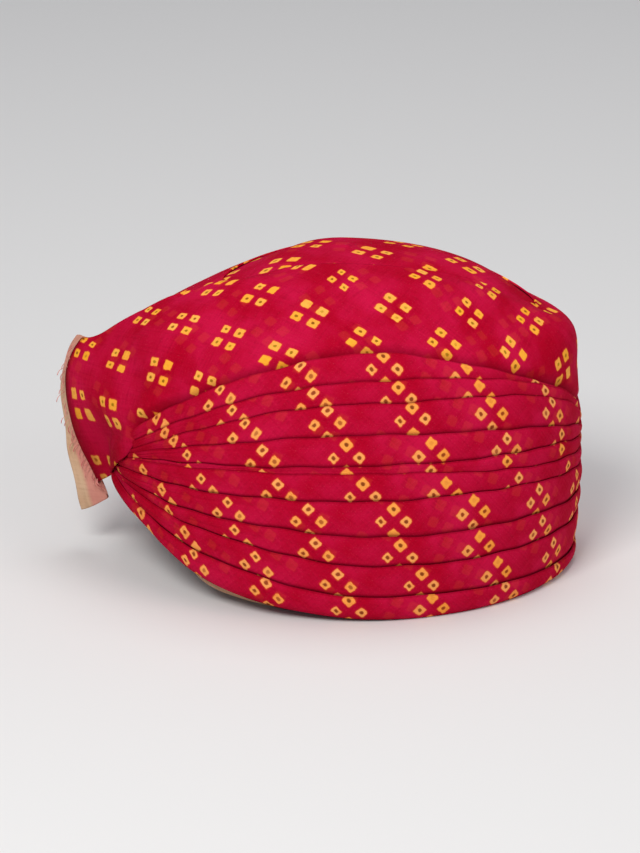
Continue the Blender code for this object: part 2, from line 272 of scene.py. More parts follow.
# %% Gentle unevenness, the same on every run
def waves(x, seed, lengths):
    """A sum of sine waves of these lengths, between about -1 and 1, whose phases come from the seed."""
    total = 0.0
    for k, length in enumerate(lengths):
        phase = math.tau * ((seed * 0.754877 + k * 0.569840 + 0.31) % 1.0)
        total = total + np.sin(math.tau * x / length + phase)
    return total / len(lengths)


# %% [markdown]
# ## Making a sheet of cloth
#
# A sheet starts as Blender's grid primitive, and its corners are then moved to where the cloth lies.
# A cloth simulation would slide the folds off their lines, and these folds are pulled tight and pinned, so the
# lines are laid in code. The grid's own UV map is rewritten in metres of cloth, so that weave and print follow
# the cloth as it bends.

# %% A sheet from a grid
SAME_CORNER = 2e-6


def deselect_all():
    for other in bpy.context.selected_objects:
        other.select_set(False)


def new_sheet(name, points, cloth_map, painted_shade_and_stain=None):
    """A grid of cloth through points[column, row], with its UV map in metres and its painted shade and stain as an
    attribute.
    """
    columns, rows = points.shape[0] - 1, points.shape[1] - 1
    deselect_all()
    bpy.ops.mesh.primitive_grid_add(x_subdivisions=columns, y_subdivisions=rows, size=1.0, calc_uvs=True)
    sheet = bpy.context.active_object
    sheet.name = name
    sheet.data.name = name
    mesh = sheet.data
    flat = np.empty(len(mesh.vertices) * 3, np.float32)
    mesh.vertices.foreach_get("co", flat)
    flat = flat.reshape(-1, 3)
    column = np.rint((flat[:, 0] + 0.5) * columns).astype(int)
    row = np.rint((flat[:, 1] + 0.5) * rows).astype(int)
    placed = points[column, row].astype(np.float32)
    mesh.vertices.foreach_set("co", placed.ravel())
    layer = mesh.uv_layers[0]
    layer.name = "cloth"
    share = np.empty(len(layer.data) * 2, np.float32)
    layer.data.foreach_get("uv", share)
    share = share.reshape(-1, 2)
    across = np.rint(share[:, 0] * columns).astype(int)
    up = np.rint(share[:, 1] * rows).astype(int)
    layer.data.foreach_set("uv", cloth_map[across, up].astype(np.float32).ravel())
    # The attribute holds painted shade for the red cloth, and stain with painted shade for the tail's lining
    marks = mesh.attributes.new("painted_shade_and_stain", "FLOAT", "POINT")
    depth = np.zeros(points.shape[:2]) if painted_shade_and_stain is None else painted_shade_and_stain
    marks.data.foreach_set("value", depth[column, row].astype(np.float32))
    mesh.update()
    return sheet


def close_seams(sheet):
    """Merges the corners that lie on each other, so that a ring of cloth is closed."""
    bpy.context.view_layer.objects.active = sheet
    bpy.ops.object.mode_set(mode="EDIT")
    bpy.ops.mesh.select_all(action="SELECT")
    bpy.ops.mesh.remove_doubles(threshold=SAME_CORNER)
    bpy.ops.mesh.normals_make_consistent(inside=False)
    bpy.ops.object.mode_set(mode="OBJECT")


def finish_sheet(sheet, thickness=None, quiet=False):
    """Gives a sheet its thickness inwards and its smooth shading, and moves its corners to the form's axis."""
    bpy.context.view_layer.objects.active = sheet
    if thickness:
        wall = sheet.modifiers.new("cloth thickness", "SOLIDIFY")
        wall.thickness = thickness
        wall.offset = -1.0
        wall.use_even_offset = False
        bpy.ops.object.modifier_apply(modifier=wall.name)
    bpy.ops.object.shade_smooth()
    sheet.data.transform(Matrix.Translation((AXIS_X, 0.0, 0.0)))
    if not quiet:
        print(f"{sheet.name}: {sum(len(p.vertices) - 2 for p in sheet.data.polygons)} triangles")
    return sheet


def along_lengths(points, axis=0):
    """Lengths along one index of a grid of points, from its start."""
    steps = np.linalg.norm(np.diff(points, axis=axis), axis=-1)
    start = np.zeros_like(np.take(steps, [0], axis=axis))
    return np.concatenate((start, np.cumsum(steps, axis=axis)), axis=axis)


def ring_map(points, row):
    """A UV map in metres for a ring of cloth: round it along one of its rows, and up it from its first row."""
    up = along_lengths(points, axis=1)
    return np.stack((along_lengths(points[:, row])[:, None] + 0 * up, up), -1)


# %% [markdown]
# ## The ten folds
#
# Each fold is a doubled band of thin cloth. Its upper edge is a soft hairpin that lies over the fold above, its
# face swells a little and then sinks under the hairpin of the next one.
# A fold could be a bevelled curve, but a curve has one section all the way. Here the section is drawn at every
# station, so it can pull together in the gather and spread over the side.

# %% The cloth and the room that it lies in
SEAT = 0.0007
LIP = 0.0017
FOLD_DEPTH = 0.0034
GATHER_DEPTH = 0.0056
HAIRPIN = 0.0012
PILE = 0.0040
EDGE_WANDER = 0.0006
LEAST_FOLD = 0.0009
CREASE_DEPTH = 0.00055
CREASE_WIDTH = 0.055
# Creases in a fold's face: where on its width, how deep, and how far round the head they reach
Crease = namedtuple("Crease", "at deep reach")
FACE_CREASES = (Crease(0.30, 0.9, 0.75), Crease(0.62, 0.7, 0.5), Crease(0.46, 0.5, 1.0))
STATIONS = 480
BACK = -math.pi / 2
AROUND = BACK + np.linspace(0.0, math.tau, STATIONS + 1)
HEADS = Meridians(AROUND)
OPEN = 1 - bunching(AROUND)
RIM_LENGTH = HEADS.length_at(outer_rim(AROUND) + 0.0003)


def fold_line(index):
    """Lengths up the cloth of a fold's upper edge, a little uneven where it lies open."""
    if index >= len(FOLDS):
        return RIM_LENGTH
    line = HEADS.length_at(fold_height(index, AROUND) + FOLDS[index].near_lift * near_lift(AROUND))
    wander = waves(near_side(AROUND), index + 1, (0.9, 0.42, 0.23)) * np.where(np.cos(AROUND) > 0, 1.0, 0.8)
    room = line - RIM_LENGTH
    return line + EDGE_WANDER * wander * OPEN * smooth(room / 0.02)


LINES = [fold_line(index) for index in range(len(FOLDS) + 1)]
for index in range(len(FOLDS) - 1, -1, -1):
    LINES[index] = np.maximum(LINES[index], LINES[index + 1] + LEAST_FOLD)
print("the first fold is", round(float((LINES[0] - LINES[1]).max()) * 1000, 1), "mm wide at its widest")


# %% One fold
FACE_ROWS = 20
NOSE_ROWS = 6


def fold_points(index):
    """The ring of points of one fold, the print's map on it and how much painted shade each point gets."""
    top = LINES[index][:, None]
    width = (LINES[index] - LINES[index + 1])[:, None]
    opened = OPEN[:, None]
    lowest = index == len(FOLDS) - 1
    swell = 1 + 0.10 * waves(near_side(AROUND), index + 11, (1.3, 0.55, 0.3))[:, None] * opened
    depth = SEAT + (FOLD_DEPTH * opened + GATHER_DEPTH * (1 - opened)) * swell
    depth = np.minimum(depth, SEAT + np.maximum(0.42 * width + 0.0012, 0.0024))
    over = np.minimum(0.0050, 0.40 * width)
    below = (LINES[index + 1] - LINES[min(index + 2, len(FOLDS))])[:, None]
    under = np.zeros_like(width) if lowest else np.minimum(0.0036, 0.30 * np.minimum(width, below))
    share = (np.arange(FACE_ROWS + 1) / FACE_ROWS)[None, :] ** 1.25
    foot = LIP + 0.0006
    edge = foot + np.minimum(HAIRPIN, 0.4 * width)
    swelling = np.sin(math.pi * share**0.75) ** 0.8
    face = edge + (foot - edge) * share**0.8 + (depth - edge + 0.0004) * swelling
    if lowest:
        face = face - 0.30 * depth * smooth((share - 0.72) / 0.28) ** 2
    else:
        face = face + (foot - 0.0005 - face) * smooth((share - 0.86) / 0.14)
    # Soft creases that start in the gather and lose themselves on the way
    for k, mark in enumerate(FACE_CREASES):
        drift = mark.at + 0.07 * waves(near_side(AROUND), index * 3 + k, (1.7, 0.8))[:, None]
        fading = smooth(1 - (near_side(AROUND)[:, None] - GATHER_ANGLE) / (math.pi * mark.reach))
        some = 0.5 + 0.5 * math.sin(2.4 * index + 1.9 * k)
        depth_here = CREASE_DEPTH * mark.deep * some * fading * opened**0.5
        face = face - depth_here * bell(share, drift, CREASE_WIDTH)
    down = width * share
    nose = np.linspace(0.0, math.pi, NOSE_ROWS + 2)[None, 1:-1]
    middle = (foot + 0.0001 + edge) / 2
    radius = (edge - foot - 0.0001) / 2
    nose_down = -radius * np.sin(nose)
    nose_off = middle - radius * np.cos(nose)
    inner_down = np.concatenate((0.75 * over, over, 0.5 * (over + width + under), width + under), axis=1)
    inner_off = np.zeros_like(width) + np.array((foot, SEAT, SEAT, SEAT))
    if lowest:
        end_down, end_off = width, 0.30 * depth
    else:
        end_down, end_off = width + under, np.full_like(width, LIP - 0.0003)
    # In the gather the folds pile up on each other
    pile = PILE * (1 - opened)
    face, nose_off = face + pile, nose_off + pile
    inner_off = inner_off + pile * (np.array((1.0, 0.0, 0.0, 0.0)) if lowest else 1.0)
    end_off = end_off + pile * (0.3 if lowest else 1.0)
    downs = np.concatenate((nose_down, inner_down, end_down, down[:, ::-1]), axis=1)
    offs = np.concatenate((nose_off, inner_off, end_off, face[:, ::-1]), axis=1)
    downs = np.concatenate((downs, downs[:, :1]), axis=1)
    offs = np.concatenate((offs, offs[:, :1]), axis=1)
    points = HEADS.off(top - downs, offs)
    # Painted shade: a little at the hairpin, full where the face sinks under the next fold and on the hidden inner
    # side, more in the gather
    painted_shade_and_stain = smooth(1 - share / 0.05) * 0.25 + smooth((share - 0.80) / 0.20) * (0.0 if lowest else 1.0)
    painted_shade_and_stain = np.broadcast_to(painted_shade_and_stain, face.shape) * (0.55 + 0.45 * opened) + 0.80 * (1 - opened)
    rest = np.ones(nose_down.shape) * 0.5, np.ones(inner_down.shape), np.ones(end_down.shape)
    fold_painted_shade = np.concatenate((*rest, painted_shade_and_stain[:, ::-1]), axis=1)
    fold_painted_shade = np.concatenate((fold_painted_shade, fold_painted_shade[:, :1]), axis=1)
    return points, downs, np.clip(fold_painted_shade, 0.0, 1.0)


# %% [markdown]
# ## Where the print falls on the folds
#
# The print is a square lattice of four-dot clusters. The folds were laid across the bias, so on them the lattice
# stands at 45 degrees to the fold and shows one row of clusters on each band.
# One lattice over the whole dome would run straight through every fold, which real cloth never does. So each fold
# has a map of its own, placed by one of its clusters.

# %% The print's lattice on each fold
PRINT_PERIOD = 0.0280
Laid = namedtuple("Laid", "cluster depth")
# Where one cluster of each fold's row lies: millimetres towards the front from the middle of the side, and below
# the fold's edge
PRINT_ON_FOLDS = (
    Laid(15.5, 7.3),
    Laid(22.2, 8.5),
    Laid(28.8, 7.5),
    Laid(-1.9, 9.3),
    Laid(-1.9, -3.3),
    Laid(5.7, 10.0),
    Laid(20.0, 8.8),
    Laid(23.3, 9.3),
    Laid(33.7, 9.6),
    Laid(-0.7, 7.0),
)


def fold_map(index, points, downs):
    """Metres of cloth along the print's own threads, for the corners of one fold."""
    face = points[:, -(FACE_ROWS // 2)]
    along = along_lengths(face)
    along = along - np.interp(0.0, AROUND, along)
    laid = PRINT_ON_FOLDS[index]
    u = (along - laid.cluster / 1000)[:, None] + 0 * downs
    v = downs - laid.depth / 1000
    half = math.sqrt(0.5)
    return np.stack(((u + v) * half, (v - u) * half), -1) + PRINT_PERIOD / 2


def make_fold(index):
    """One fold as a closed ring of cloth."""
    points, downs, painted_shade_and_stain = fold_points(index)
    sheet = new_sheet(FOLDS[index].name + "_cloth", points, fold_map(index, points, downs), painted_shade_and_stain)
    close_seams(sheet)
    return finish_sheet(sheet)


folds = [make_fold(index) for index in range(len(FOLDS))]

# %% [markdown]
# ## The smooth turn and its tail
#
# The last turn of cloth lies smooth above the folds. It starts under itself at the back, goes once round and
# ends as a tail that stands off the nape. Its lower hem goes under the first fold, and its upper edge lies beside
# the long opening on the crown.
# A plane with a thickness, shrink-wrapped to the dome, could make the turn but not the tail, which leaves the
# dome. So every corner has an angle, a place up the cloth and a distance off the dome, and the tail is only a
# place where that distance grows.

# %% The turn's edges and how far it stands off the form
WRAP_CLOTH = 0.0020
TURN_CLOTH = 0.0009
TURN_SEAT = 0.0018
FAR_TIGHT = 0.0024
SOFT_JOIN = 0.0025
PRESSED = 0.0002
TAIL_LINING_CLOTH = 0.0009
TAIL_ANGLE = math.radians(-97.5)
TAIL_FLARE_START = math.radians(-46)
TAIL_TIP = 0.031
TAIL_MIDDLE = 0.080
TAIL_CUT = math.radians(8)
TAIL_LINING_ROOT = math.radians(-78)
TAIL_ROOT = math.radians(-71)
FIN_START = math.radians(-79.5)
# How far the free edge of the red cloth and the edge of the pale layer stand off the form, every 8 mm of height
EDGE_TABLE_START = 0.018
EDGE_TABLE_STEP = 0.008
RED_EDGE_OFF = np.array(
    (10.8, 13.0, 15.4, 19.0, 23.4, 27.3, 30.4, 32.6, 33.2, 31.4, 27.2, 19.5, 12.0, 7.2, 4.6, 3.6)
) / 1000
PALE_EDGE_OFF = np.array(
    (23.6, 25.1, 26.6, 28.0, 29.9, 31.6, 33.4, 34.9, 34.9, 32.9, 28.4, 22.0, 14.0, 9.0, 6.0, 5.0)
) / 1000
TURN_END_ANGLE = math.radians(292.5)
TURN_START_COVERED = math.radians(-44)
SHOULDER_HEIGHT = 0.112
SHOULDER_SWELL = 0.0056
SHOULDER_ABOVE = 0.009
SHOULDER_BELOW = 0.016
CROWN_GAP_FORWARD = 0.014
CROWN_GAP_LENGTH = 0.148
CROWN_GAP_NEAR = 0.021
CROWN_GAP_FAR = 0.038


def crown_edge_row(angles):
    """The row where a smooth turn ends beside the long opening on the crown."""
    rows = np.linspace(5.0, WOUND.last, 600)
    p = WOUND.at(np.asarray(angles)[:, None], rows[None, :])
    along = (p[..., 0] - CROWN_GAP_FORWARD) / (CROWN_GAP_LENGTH / 2)
    across = p[..., 1] / np.where(p[..., 1] > 0, CROWN_GAP_FAR, CROWN_GAP_NEAR)
    outside = along**2 + across**2 > 1
    return rows[np.minimum(outside.sum(axis=1), len(rows) - 1)]


def tail_edge_angle(height):
    """The red cloth's free edge: it stands nearly upright and cuts in below to the tip."""
    return TAIL_ANGLE + TAIL_CUT * smooth((TAIL_MIDDLE - height) / (TAIL_MIDDLE - TAIL_TIP))


def edge_off(table, height):
    """The stand-off in one of the tail's tables, at each height."""
    return between_rows(table, (height - EDGE_TABLE_START) / EDGE_TABLE_STEP)


def turn_stands_off(angle, height):
    """How far the smooth turn's inner side stands off the wound form."""
    over_start = (2 * SEAT + WRAP_CLOTH) * smooth((TURN_START_COVERED - angle) / math.radians(16))
    edge = tail_edge_angle(height)
    opened = np.clip((TAIL_FLARE_START - angle) / (TAIL_FLARE_START - edge), 0.0, 1.0) ** 2
    # Low down the cloth is pulled in to the gather and leaves it sharply, as a fin
    fin = smooth((FIN_START - angle) / (FIN_START - edge))
    pinched = smooth((0.083 - height) / 0.030)
    flared = (edge_off(RED_EDGE_OFF, height) - RED_EDGE_OFF[-1]) * (opened + (fin - opened) * pinched)
    gathered = smooth((math.radians(-61) - angle) / math.radians(12))
    gathered = gathered * smooth((GATHER_HEIGHT + 0.030 - height) / 0.022)
    over_gather = (GATHER_DEPTH - 0.0006) * gathered
    under = np.maximum(over_start, over_gather)
    furthest = 0.5 * (under + flared + np.sqrt((under - flared) ** 2 + SOFT_JOIN**2)) - SOFT_JOIN / 2
    wide = np.where(height > SHOULDER_HEIGHT, SHOULDER_ABOVE, SHOULDER_BELOW)
    shoulder = bell(height, SHOULDER_HEIGHT, wide) * bell(angle, math.pi / 2, math.radians(30))
    seat = TURN_SEAT - FAR_TIGHT * far_and_high(angle, height)
    return seat + np.maximum(furthest, under) + SHOULDER_SWELL * shoulder


def far_and_high(angle, height):
    """1 on the far half of the crown, where the turn lies tight on the cloth under it."""
    return smooth((angle - math.radians(75)) / math.radians(30)) * smooth((height - 0.085) / 0.020)


# %% The turn's cloth
TURN_COLUMNS = 460
TURN_ROWS = 90
TURN_TUCK = 0.0040
LAP_START = math.radians(-62)
LAP_WIDTH = math.radians(9)
DIP_OFF = 0.0017
DIP_REACH = 0.0065
REST_OFF = 0.0012
REST_REACH = 0.018
SIDE_ROW = 4.0
# Soft creases that fan out of the gather over the smooth cloth: degrees of the fan, their width and their height
FAN = ((12, 3.0, -0.7), (24, 3.5, 0.8), (33, 2.5, -0.9), (47, 4.5, 0.9), (60, 3.5, -0.9), (76, 6.0, 0.8))
FAN_HEIGHT = 0.0009
CALM_HEIGHT = 0.0007
# How much painted shade the cloth gets at its free edge, around the gather and where it dips under the first fold
CURLED_SHADE = 1.7
GATHER_SHADE = 0.85
DIP_SHADE = 0.9
# The turn's lower hem where it laps over the gather and runs down to the tail's tip
Hem = namedtuple("Hem", "angle height")
TAIL_HEM = (
    Hem(-62.0, 0.0665),
    Hem(-66.0, 0.0625),
    Hem(-71.0, 0.0575),
    Hem(-76.7, 0.0520),
    Hem(-81.0, 0.0485),
    Hem(-85.3, 0.0450),
    Hem(-91.0, 0.0395),
    Hem(-95.5, 0.0360),
    Hem(-97.5, 0.0345),
)
# The height of the turn's upper edge where it leaves the crown and runs out along the tail
TAIL_UPPER = (
    Hem(-97.5, 0.0975),
    Hem(-96.0, 0.1000),
    Hem(-94.0, 0.1035),
    Hem(-92.0, 0.1068),
    Hem(-90.0, 0.1105),
    Hem(-88.0, 0.1145),
    Hem(-86.0, 0.1190),
    Hem(-84.0, 0.1240),
    Hem(-80.0, 0.1310),
    Hem(-74.0, 0.1400),
    Hem(-68.0, 0.1600),
)


def hem_height(hems, angles):
    """The height of one of the hems at each angle."""
    hems = sorted(hems)
    return np.interp(angles, np.radians([hem.angle for hem in hems]), [hem.height for hem in hems])


def round_the_form(angles):
    """Lengths along the side of the form from the first of the angles."""
    return along_lengths(WOUND.at(angles, np.full(angles.shape, SIDE_ROW)))


def turn_grid():
    """The corners' angles, rows of the form and distances off it, their lengths both ways, and their painted shade.
    """
    angles = np.linspace(TAIL_ANGLE, TURN_END_ANGLE, TURN_COLUMNS + 1)
    lines = Meridians(angles)
    start = np.interp((angles - BACK) % math.tau + BACK, AROUND, LINES[0])
    tail = np.clip((TAIL_ROOT - angles) / (TAIL_ROOT - TAIL_ANGLE), 0.0, 1.0)
    lap = smooth((LAP_START - angles) / LAP_WIDTH)
    hem = lines.length_at(hem_height(TAIL_HEM, angles))
    lower = start - TURN_TUCK * (1 - lap)
    lower = lower + (hem - lower) * lap
    upper_row = np.minimum(crown_edge_row(angles), WOUND.row_at(hem_height(TAIL_UPPER, angles)))
    upper = np.array([np.interp(r, lines.rows, line) for r, line in zip(upper_row, lines.lengths)])
    share = np.linspace(0.0, 1.0, TURN_ROWS + 1)[None, :]
    lengths = lower[:, None] + (upper - lower)[:, None] * share
    rows = lines.row_at(lengths)
    heights = between_rows(WOUND.heights, rows)
    sheared = tail[:, None] * (tail_edge_angle(heights) - TAIL_ANGLE)
    angle = angles[:, None] + sheared
    off = turn_stands_off(angle, heights) + WRAP_CLOTH - PRESSED
    above = lengths - start[:, None]
    laid = 1 - lap[:, None]
    rested = smooth((angles + math.radians(84)) / math.radians(10))[:, None]
    tight = far_and_high(angle, heights)
    dip = (1 - smooth((above + 0.0005) / DIP_REACH)) * laid
    off = off + (DIP_OFF - off) * dip
    # Soft creases that run out of the gather over the smooth cloth
    along = np.interp(angle, angles, round_the_form(angles))
    gather_at = np.interp(GATHER_ANGLE, angles, round_the_form(angles))
    away = np.hypot(along - gather_at, lengths - GATHER_HEIGHT)
    turned = np.degrees(np.arctan2(lengths - GATHER_HEIGHT, along - gather_at))
    soft = sum(high * bell(turned, at + 18 * (away - 0.05), wide) for at, wide, high in FAN)
    soft = soft * smooth((away - 0.006) / 0.02) * (1 - smooth((away - 0.03) / 0.075))
    room = upper[:, None] - lengths
    calm = 0.5 * waves(along, 3, (0.075, 0.047)) * waves(lengths, 5, (0.09, 0.05)) * smooth(room / 0.02)
    off = off + FAN_HEIGHT * soft + CALM_HEIGHT * calm * (1 - dip) * (1 - tight)
    # Beside the opening on the crown the turn rests on the cap
    resting = (1 - smooth((room - 0.001) / REST_REACH)) * rested
    off = off + (REST_OFF - off) * resting * 0.96
    # Painted shade along the tail's free edge, widest low down
    edge_shade_width = np.radians(1.5 + 9.5 * smooth((0.092 - heights) / 0.034))
    edge_shade = smooth(1 - (angle - tail_edge_angle(heights)) / edge_shade_width) * (angles < 0)[:, None]
    # Painted shade around the gather and where the cloth dips under the first fold
    shaded = GATHER_SHADE * (1 - smooth((away - 0.004) / 0.032))
    painted_shade_and_stain = np.maximum(np.maximum(DIP_SHADE * dip, shaded), CURLED_SHADE * edge_shade)
    return angle, rows, off, lengths, along, painted_shade_and_stain


turn_angle, turn_row, turn_off, turn_length, turn_along, turn_painted_shade = turn_grid()
turn_points = WOUND.off(turn_angle, turn_row, turn_off)

# %% [markdown]
# A strip that goes round a dome unrolls like a cone, so the turn's print is first laid on an unrolled cone. Cotton
# also gives on the bias, so the clusters that can be seen are then pulled to where they lie, and the cloth
# between them follows softly.

# %% Where the turn's clusters lie: degrees round the head, millimetres up, and the cluster's place in the lattice
Tied = namedtuple("Tied", "angle height across along")
TURN_CLUSTERS = (
    Tied(-46.0, 137.3, 0, 0),
    Tied(-39.4, 122.0, 0, -1),
    Tied(-41.2, 103.2, 0, -2),
    Tied(-16.9, 133.9, 1, 0),
    Tied(-20.3, 118.2, 1, -1),
    Tied(-5.2, 145.6, 1, 1),
    Tied(15.4, 135.9, 2, 1),
    Tied(4.2, 124.6, 2, 0),
    Tied(40.2, 144.8, 2, 2),
    Tied(43.0, 131.2, 3, 2),
    Tied(28.2, 122.0, 3, 1),
    Tied(49.5, 113.7, 4, 2),
    Tied(65.4, 122.6, 4, 3),
    Tied(-58.2, 121.7, -1, -1),
    Tied(-56.0, 104.5, -1, -2),
    Tied(-77.1, 101.7, -2, -2),
    Tied(-79.0, 117.6, -2, -1),
    Tied(-93.4, 95.4, -3, -2),
    Tied(-59.3, 79.9, -1, -3),
    Tied(-75.7, 76.7, -2, -3),
    Tied(-89.2, 74.0, -3, -3),
    Tied(69.1, 101.4, 5, 3),
)
CONE_RADIUS = 0.1183
CONE_TURN = 0.858
CONE_PERIOD = 0.0269
CONE_GRAIN = math.radians(-38.5)
CONE_START = (-0.0404, 0.0375)
CONE_LENGTH = 0.130
GIVE_REACH = 0.040
GIVE_STIFFNESS = 0.03


def cone_lattice(along, length):
    """The print's lattice on an unrolled cone, from metres round the form and metres up it."""
    turned = CONE_TURN * along / CONE_RADIUS
    radius = CONE_RADIUS - (length - CONE_LENGTH)
    x = radius * np.sin(turned) - CONE_START[0]
    y = CONE_RADIUS - radius * np.cos(turned) - CONE_START[1]
    c, s = math.cos(CONE_GRAIN), math.sin(CONE_GRAIN)
    return np.stack(((c * x + s * y) / CONE_PERIOD, (c * y - s * x) / CONE_PERIOD), -1)


def turn_lattice(along, length):
    """The cone's lattice, pulled softly so that the clusters that can be seen lie in their places."""
    tied_angle = np.radians([t.angle for t in TURN_CLUSTERS])
    fine = np.linspace(TAIL_ANGLE - 0.05, TURN_END_ANGLE, 900)
    fine_along = round_the_form(fine)
    zero = np.interp(0.0, fine, fine_along)
    tied_along = np.interp(tied_angle, fine, fine_along) - zero
    tied_lines = Meridians(tied_angle)
    tied_length = tied_lines.length_at(np.array([t.height / 1000 for t in TURN_CLUSTERS]))
    wanted = np.array([(t.across, t.along) for t in TURN_CLUSTERS], float)
    missing = wanted - cone_lattice(tied_along, tied_length)
    apart = np.hypot(tied_along[:, None] - tied_along, tied_length[:, None] - tied_length)
    pull = np.linalg.solve(np.exp(-((apart / GIVE_REACH) ** 2)) + GIVE_STIFFNESS * np.eye(len(wanted)), missing)
    lattice = cone_lattice(along, length)
    for tie_along, tie_length, amount in zip(tied_along, tied_length, pull):
        near = np.exp(-((along - tie_along) ** 2 + (length - tie_length) ** 2) / GIVE_REACH**2)
        lattice = lattice + near[..., None] * amount
    return lattice


turn_zero = np.interp(0.0, turn_angle[:, TURN_ROWS // 2], turn_along[:, TURN_ROWS // 2])
turn_map = (turn_lattice(turn_along - turn_zero, turn_length) + 0.5) * PRINT_PERIOD
smooth_turn = new_sheet("smooth_turn_cloth", turn_points, turn_map, turn_painted_shade)
finish_sheet(smooth_turn, TURN_CLOTH)

# %% [markdown]
# ## The cloth over the crown
#
# On the real turban this is the end of an inner turn, pulled flat over the top of the head. It shows through the
# long opening between the two edges of the smooth turn.
# Part of a squashed sphere could stand for it, but the smooth turn rests on it along both edges, so it is drawn
# on the same dome, as rings of corners that close at the pole and come back inside.

# %% The cap
CAP_CLOTH = 0.0025
CROWN_STATIONS = 240
CAP_ROWS = 41
CAP_LIFT = 0.0003
CAP_WAVER = 0.0002
BACK_SWELL = 0.0009
BACK_SWELL_ANGLE = math.radians(205)
BACK_SWELL_WIDTH = math.radians(38)


def crown_points():
    """Rings of corners from the pole down inside, and up again outside."""
    angles = np.linspace(0.0, math.tau, CROWN_STATIONS + 1)[:, None]
    seat = WOUND.row_at(WALL_TOP + CAP_LIFT)
    share = np.linspace(0.0, 1.0, CAP_ROWS)[None, :]
    rows = seat + (WOUND.last - seat) * share
    waver = CAP_WAVER * waves(WOUND.at(angles, rows)[..., 1], 4, (0.031, 0.019)) * smooth(share / 0.1)
    back_swell = BACK_SWELL * bell(angles, BACK_SWELL_ANGLE, BACK_SWELL_WIDTH) * smooth((rows - 7.4) / 0.5)
    outer = WOUND.off(angles, rows, waver * smooth((1 - share) / 0.1) + back_swell)
    inner = WOUND.off(angles, rows[:, ::-1], np.full((1, CAP_ROWS), -CAP_CLOTH))
    outer[:, 0, 2] = inner[:, -1, 2] = WALL_TOP + CAP_LIFT
    return np.concatenate((inner, outer), axis=1)


crown_grid = crown_points()
# Where its clusters lie: millimetres forward and across from the form's axis, and their places in the lattice
Spot = namedtuple("Spot", "forward across first second")
CROWN_CLUSTERS = (
    Spot(-32.0, -13.2, -1, 0),
    Spot(-15.5, 15.8, 0, 0),
    Spot(7.3, -4.5, 0, 1),
    Spot(22.8, 10.4, 1, 1),
    Spot(39.3, -15.7, 0, 2),
    Spot(57.7, -4.9, 1, 2),
)
spots = np.array(CROWN_CLUSTERS, float)
spot_places = np.column_stack((spots[:, :2] / 1000, np.ones(len(spots))))
crown_fit = np.linalg.lstsq(spot_places, spots[:, 2:], rcond=None)[0]
crown_flat = np.concatenate((crown_grid[..., :2], np.ones(crown_grid.shape[:2] + (1,))), axis=-1)
crown_map = (crown_flat @ crown_fit + 0.5) * PRINT_PERIOD
crown = new_sheet("crown_cloth", crown_grid, crown_map)
close_seams(crown)
finish_sheet(crown)

# %% [markdown]
# ## The lining
#
# Undyed cotton lines the opening for the head, and its hem shows as a thin pale line under the rim.
# The dome, scaled down, would be too thick at its ends, so the head has a table of its own. The hem is turned out
# a little behind the near side, where it peeks out from under the folds.

# %% The lining that the head sits in
LINING_CLOTH = 0.0015
LINING_ROWS = 45
HEM_TURNED_OUT = 0.0090
HEM_TURNED_ANGLE = math.radians(-41)
HEM_TURNED_WIDTH = math.radians(12)
HEM_TURNED_REACH = 0.06
LOWEST_HEM = 0.0003


def lining_points():
    """Rings of corners from the pole down inside to the hem, and up again outside."""
    angles = np.linspace(0.0, math.tau, CROWN_STATIONS + 1)
    hem = HEAD.row_at(np.maximum(LOWEST_HEM, rim_height(angles)))[:, None]
    share = np.linspace(0.0, 1.0, LINING_ROWS)[None, :]
    rows = hem + (HEAD.last - hem) * share
    turned_out = HEM_TURNED_OUT * bell(wrapped(angles), HEM_TURNED_ANGLE, HEM_TURNED_WIDTH)
    turned_out = turned_out[:, None] * (1 - np.minimum(share / HEM_TURNED_REACH, 1.0)) ** 2
    inner = HEAD.off(angles[:, None], rows[:, ::-1], turned_out[:, ::-1])
    outer = HEAD.off(angles[:, None], rows, turned_out + LINING_CLOTH)
    return np.concatenate((inner, outer), axis=1)


lining_grid = lining_points()
lining = new_sheet("lining_cloth", lining_grid, ring_map(lining_grid, 0))
close_seams(lining)
finish_sheet(lining)

# %% [markdown]
# ## The wound layers
#
# Under the folds lie the turns that were wound first. From outside they can't be seen, but from below their edges
# show round the rim as thin lines.
# Six shells could lie inside each other, but nearly all of their faces would be hidden. One ring with grooves in
# its underside shows the same edges.

# %% The wound layers, whose edges show round the rim from below
LAYERS = 6
INNER_ROWS = 9
OUTER_ROWS = 13
LINING_GAP = 0.0006
GROOVE_DEPTH = 0.0022


